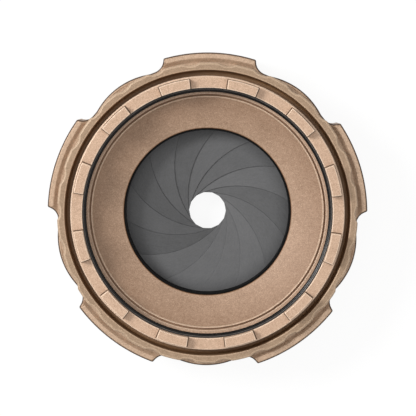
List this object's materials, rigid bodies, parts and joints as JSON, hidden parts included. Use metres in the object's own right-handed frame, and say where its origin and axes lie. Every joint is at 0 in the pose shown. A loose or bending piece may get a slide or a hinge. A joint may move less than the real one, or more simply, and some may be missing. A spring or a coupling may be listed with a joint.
{
  "type": "iris diaphragm",
  "caption": "Round iris diaphragm: overlapping curved leaves worked by a lugged grip ring, in a housing with a lens barrel socket, rubber seal and slotted lock nut.",
  "frame": {"origin": "centre of the ledge the lens barrel sits on, on the optical axis", "axes": "+Z along the optical axis, out of the barrel socket towards the lens barrel; +Y is 0.85 degrees off the middle of one lug"},
  "size_m": [0.0526, 0.0516, 0.0159],
  "materials": {
    "tan_housing": "fine textured flat dark earth anodising",
    "tan_nut": "fine textured flat dark earth anodising",
    "tan_ring": "fine textured flat dark earth anodising",
    "tan_grip": "fine textured flat dark earth anodising",
    "tan_cover": "fine textured flat dark earth anodising",
    "black_rubber": "glossy moulded",
    "white_polymer": "matt",
    "black_anodised": "matt black anodised",
    "black_steel": "black oxide",
    "leaf_steel": "satin black spring steel",
    "pin_steel": "plain"
  },
  "bodies": {
    "housing": {"housing": "tan_housing", "barrel_seal": "black_rubber", "lock_nut": "tan_nut", "retaining_ring": "tan_ring", "friction_washer": "white_polymer", "leaf_carrier": "black_anodised", "front_cover": "tan_cover", "cover_screws": "black_steel"},
    "grip": {"grip_ring": "tan_grip", "cam_ring": "black_anodised", "drive_screws": "black_steel"},
    "leaf_01": {"leaf_01": "leaf_steel", "leaf_01_pins": "pin_steel"},
    "leaf_02": {"leaf_02": "leaf_steel", "leaf_02_pins": "pin_steel"},
    "leaf_03": {"leaf_03": "leaf_steel", "leaf_03_pins": "pin_steel"},
    "leaf_04": {"leaf_04": "leaf_steel", "leaf_04_pins": "pin_steel"},
    "leaf_05": {"leaf_05": "leaf_steel", "leaf_05_pins": "pin_steel"},
    "leaf_06": {"leaf_06": "leaf_steel", "leaf_06_pins": "pin_steel"},
    "leaf_07": {"leaf_07": "leaf_steel", "leaf_07_pins": "pin_steel"},
    "leaf_08": {"leaf_08": "leaf_steel", "leaf_08_pins": "pin_steel"},
    "leaf_09": {"leaf_09": "leaf_steel", "leaf_09_pins": "pin_steel"},
    "leaf_10": {"leaf_10": "leaf_steel", "leaf_10_pins": "pin_steel"},
    "leaf_11": {"leaf_11": "leaf_steel", "leaf_11_pins": "pin_steel"},
    "leaf_12": {"leaf_12": "leaf_steel", "leaf_12_pins": "pin_steel"},
    "leaf_13": {"leaf_13": "leaf_steel", "leaf_13_pins": "pin_steel"},
    "leaf_14": {"leaf_14": "leaf_steel", "leaf_14_pins": "pin_steel"}
  },
  "joints": [
    {"name": "iris_turn", "type": "hinge", "parent": "housing", "child": "grip", "pos_m": [0, 0, 0], "axis": [0, 0, 1], "range_deg": [-71.8, 6.9]},
    {"name": "leaf_01_swing", "type": "hinge", "parent": "housing", "child": "leaf_01", "pos_m": [0.00283, 0.01757, -0.005], "axis": [0, 0, 1], "range_deg": [-35.9, 3.45]},
    {"name": "leaf_02_swing", "type": "hinge", "parent": "housing", "child": "leaf_02", "pos_m": [-0.00507, 0.01706, -0.005], "axis": [0, 0, 1], "range_deg": [-35.9, 3.45]},
    {"name": "leaf_03_swing", "type": "hinge", "parent": "housing", "child": "leaf_03", "pos_m": [-0.01197, 0.01317, -0.005], "axis": [0, 0, 1], "range_deg": [-35.9, 3.45]},
    {"name": "leaf_04_swing", "type": "hinge", "parent": "housing", "child": "leaf_04", "pos_m": [-0.0165, 0.00667, -0.005], "axis": [0, 0, 1], "range_deg": [-35.9, 3.45]},
    {"name": "leaf_05_swing", "type": "hinge", "parent": "housing", "child": "leaf_05", "pos_m": [-0.01776, -0.00115, -0.005], "axis": [0, 0, 1], "range_deg": [-35.9, 3.45]},
    {"name": "leaf_06_swing", "type": "hinge", "parent": "housing", "child": "leaf_06", "pos_m": [-0.0155, -0.00874, -0.005], "axis": [0, 0, 1], "range_deg": [-35.9, 3.45]},
    {"name": "leaf_07_swing", "type": "hinge", "parent": "housing", "child": "leaf_07", "pos_m": [-0.01018, -0.01461, -0.005], "axis": [0, 0, 1], "range_deg": [-35.9, 3.45]},
    {"name": "leaf_08_swing", "type": "hinge", "parent": "housing", "child": "leaf_08", "pos_m": [-0.00283, -0.01757, -0.005], "axis": [0, 0, 1], "range_deg": [-35.9, 3.45]},
    {"name": "leaf_09_swing", "type": "hinge", "parent": "housing", "child": "leaf_09", "pos_m": [0.00507, -0.01706, -0.005], "axis": [0, 0, 1], "range_deg": [-35.9, 3.45]},
    {"name": "leaf_10_swing", "type": "hinge", "parent": "housing", "child": "leaf_10", "pos_m": [0.01197, -0.01317, -0.005], "axis": [0, 0, 1], "range_deg": [-35.9, 3.45]},
    {"name": "leaf_11_swing", "type": "hinge", "parent": "housing", "child": "leaf_11", "pos_m": [0.0165, -0.00667, -0.005], "axis": [0, 0, 1], "range_deg": [-35.9, 3.45]},
    {"name": "leaf_12_swing", "type": "hinge", "parent": "housing", "child": "leaf_12", "pos_m": [0.01776, 0.00115, -0.005], "axis": [0, 0, 1], "range_deg": [-35.9, 3.45]},
    {"name": "leaf_13_swing", "type": "hinge", "parent": "housing", "child": "leaf_13", "pos_m": [0.0155, 0.00874, -0.005], "axis": [0, 0, 1], "range_deg": [-35.9, 3.45]},
    {"name": "leaf_14_swing", "type": "hinge", "parent": "housing", "child": "leaf_14", "pos_m": [0.01018, 0.01461, -0.005], "axis": [0, 0, 1], "range_deg": [-35.9, 3.45]}
  ],
  "couplings": [
    {"joint": "leaf_01_swing", "follows": "iris_turn", "ratio": 0.5},
    {"joint": "leaf_02_swing", "follows": "iris_turn", "ratio": 0.5},
    {"joint": "leaf_03_swing", "follows": "iris_turn", "ratio": 0.5},
    {"joint": "leaf_04_swing", "follows": "iris_turn", "ratio": 0.5},
    {"joint": "leaf_05_swing", "follows": "iris_turn", "ratio": 0.5},
    {"joint": "leaf_06_swing", "follows": "iris_turn", "ratio": 0.5},
    {"joint": "leaf_07_swing", "follows": "iris_turn", "ratio": 0.5},
    {"joint": "leaf_08_swing", "follows": "iris_turn", "ratio": 0.5},
    {"joint": "leaf_09_swing", "follows": "iris_turn", "ratio": 0.5},
    {"joint": "leaf_10_swing", "follows": "iris_turn", "ratio": 0.5},
    {"joint": "leaf_11_swing", "follows": "iris_turn", "ratio": 0.5},
    {"joint": "leaf_12_swing", "follows": "iris_turn", "ratio": 0.5},
    {"joint": "leaf_13_swing", "follows": "iris_turn", "ratio": 0.5},
    {"joint": "leaf_14_swing", "follows": "iris_turn", "ratio": 0.5}
  ]
}
